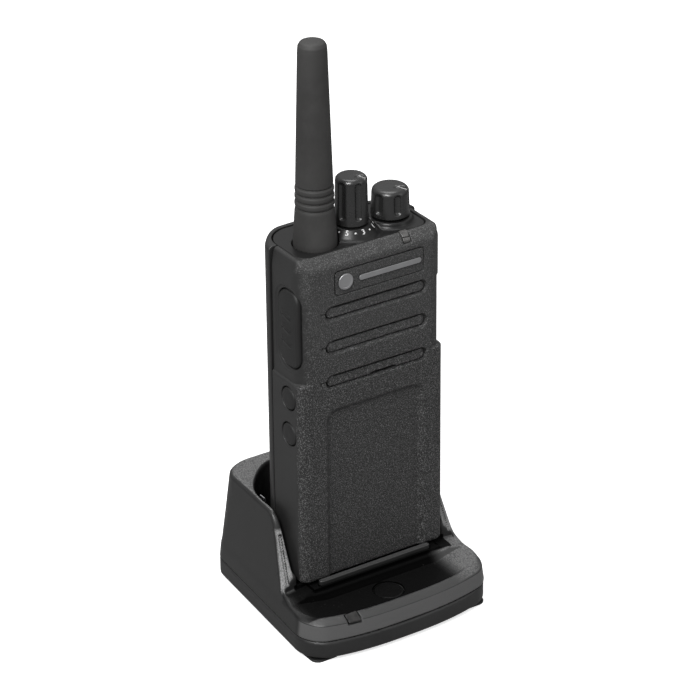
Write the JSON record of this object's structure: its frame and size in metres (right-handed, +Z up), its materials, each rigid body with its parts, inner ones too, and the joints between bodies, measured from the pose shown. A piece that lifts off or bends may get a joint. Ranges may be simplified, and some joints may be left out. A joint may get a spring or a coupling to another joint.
{
  "type": "two way radio",
  "caption": "Compact hand-held two way radio with a stub antenna, top rotary controls and side talk key, standing in its drop-in charging tray.",
  "frame": {"origin": "middle of the charging tray's footprint, on the surface its feet stand on", "axes": "+Z up along the radio, the radio's front faces -Y, its talk key is on the -X side"},
  "size_m": [0.0728, 0.072, 0.2041],
  "materials": {
    "textured_black_plastic": "coarse moulded grain, matt, near black",
    "smooth_black_plastic": "fine satin moulding, near black",
    "satin_black_plastic": "satin black with a fine grain",
    "tray_black_plastic": "leather-like fine grain on the top faces, satin",
    "antenna_rubber": "matt dark grey elastomer",
    "black_rubber": "matt black elastomer",
    "silver_badge": "brushed silver",
    "steel": "bright stamped steel",
    "nickel": "nickel plated brass",
    "gold_contact": "gold plated contact",
    "copper_wire": "bare copper wire",
    "circuit_board": "green solder mask",
    "smoked_lens": "smoked clear plastic",
    "felt": "black acoustic cloth",
    "cell_wrap": "blue-grey shrink wrap",
    "speaker_cone": "pressed black cone on a steel basket",
    "core_plastic": "natural plastic former"
  },
  "bodies": {
    "tray": {"tray_housing": "tray_black_plastic", "tray_bottom_cover": "smooth_black_plastic", "tray_foot_front_left": "black_rubber", "tray_foot_front_right": "black_rubber", "tray_foot_rear_left": "black_rubber", "tray_foot_rear_right": "black_rubber", "tray_screw_front_left": "steel", "tray_screw_front_right": "steel", "tray_screw_rear_left": "steel", "tray_screw_rear_right": "steel", "tray_circuit_board": "circuit_board", "contact_block": "smooth_black_plastic", "tray_power_jack": "smooth_black_plastic", "tray_emblem_disc": "smooth_black_plastic", "tray_indicator_lens": "smoked_lens", "guide_spring_left": "steel", "guide_spring_right": "steel"},
    "radio": {"front_housing": "textured_black_plastic", "rear_housing": "smooth_black_plastic", "housing_gasket": "black_rubber", "chassis_screw_upper_left": "steel", "chassis_screw_upper_right": "steel", "chassis_screw_lower_left": "steel", "chassis_screw_lower_right": "steel", "top_escutcheon": "satin_black_plastic", "radio_indicator_lens": "smoked_lens", "antenna_sheath": "antenna_rubber", "antenna_ferrule": "nickel", "antenna_core": "core_plastic", "antenna_coil": "copper_wire", "channel_switch": "steel", "volume_switch": "steel", "name_plate": "smooth_black_plastic", "badge_disc": "silver_badge", "badge_bar": "silver_badge", "speaker": "speaker_cone", "speaker_cloth": "felt", "microphone": "steel", "main_circuit_board": "circuit_board", "rf_shield_can": "steel", "side_switch_board": "circuit_board", "accessory_jack": "smooth_black_plastic", "battery_terminal_block": "smooth_black_plastic"},
    "channel_knob": {"channel_knob": "satin_black_plastic", "channel_shaft": "nickel"},
    "volume_knob": {"volume_knob": "satin_black_plastic", "volume_shaft": "nickel"},
    "ptt_button": {"ptt_button": "black_rubber"},
    "side_button_upper": {"side_button_upper": "black_rubber"},
    "side_button_lower": {"side_button_lower": "black_rubber"},
    "jack_cover": {"jack_cover": "black_rubber"},
    "battery": {"battery_case": "smooth_black_plastic", "battery_base": "smooth_black_plastic", "battery_cell": "cell_wrap", "charging_pad_left": "gold_contact", "charging_pad_right": "gold_contact"},
    "battery_latch": {"battery_latch": "smooth_black_plastic"},
    "contact_pin_left": {"contact_pin_left": "gold_contact"},
    "contact_pin_right": {"contact_pin_right": "gold_contact"}
  },
  "joints": [
    {"name": "radio_lift", "type": "slide", "parent": "tray", "child": "radio", "axis": [0, 0, 1], "range_m": [0, 0.06]},
    {"name": "channel_turn", "type": "hinge", "parent": "radio", "child": "channel_knob", "pos_m": [0.0006, -0.00175, 0.1389], "axis": [0, 0, 1], "range_deg": [-337.5, 0]},
    {"name": "volume_turn", "type": "hinge", "parent": "radio", "child": "volume_knob", "pos_m": [0.0154, -0.00175, 0.1378], "axis": [0, 0, 1], "range_deg": [-290, 0]},
    {"name": "ptt_press", "type": "slide", "parent": "radio", "child": "ptt_button", "axis": [1, 0, 0], "range_m": [0, 0.001]},
    {"name": "side_button_upper_press", "type": "slide", "parent": "radio", "child": "side_button_upper", "axis": [1, 0, 0], "range_m": [0, 0.0006]},
    {"name": "side_button_lower_press", "type": "slide", "parent": "radio", "child": "side_button_lower", "axis": [1, 0, 0], "range_m": [0, 0.0006]},
    {"name": "jack_cover_swing", "type": "hinge", "parent": "radio", "child": "jack_cover", "pos_m": [0.0276, -0.00675, 0.1157], "axis": [0, 1, 0], "range_deg": [0, 110]},
    {"name": "battery_tilt", "type": "hinge", "parent": "radio", "child": "battery", "pos_m": [0, 0.01025, 0.0231], "axis": [-1, 0, 0], "range_deg": [0, 3]},
    {"name": "battery_latch_slide", "type": "slide", "parent": "radio", "child": "battery_latch", "axis": [0, 0, 1], "range_m": [0, 0.002]},
    {"name": "contact_pin_left_press", "type": "slide", "parent": "tray", "child": "contact_pin_left", "axis": [0, 0, -1], "range_m": [0, 0.0006]},
    {"name": "contact_pin_right_press", "type": "slide", "parent": "tray", "child": "contact_pin_right", "axis": [0, 0, -1], "range_m": [0, 0.0006]}
  ]
}
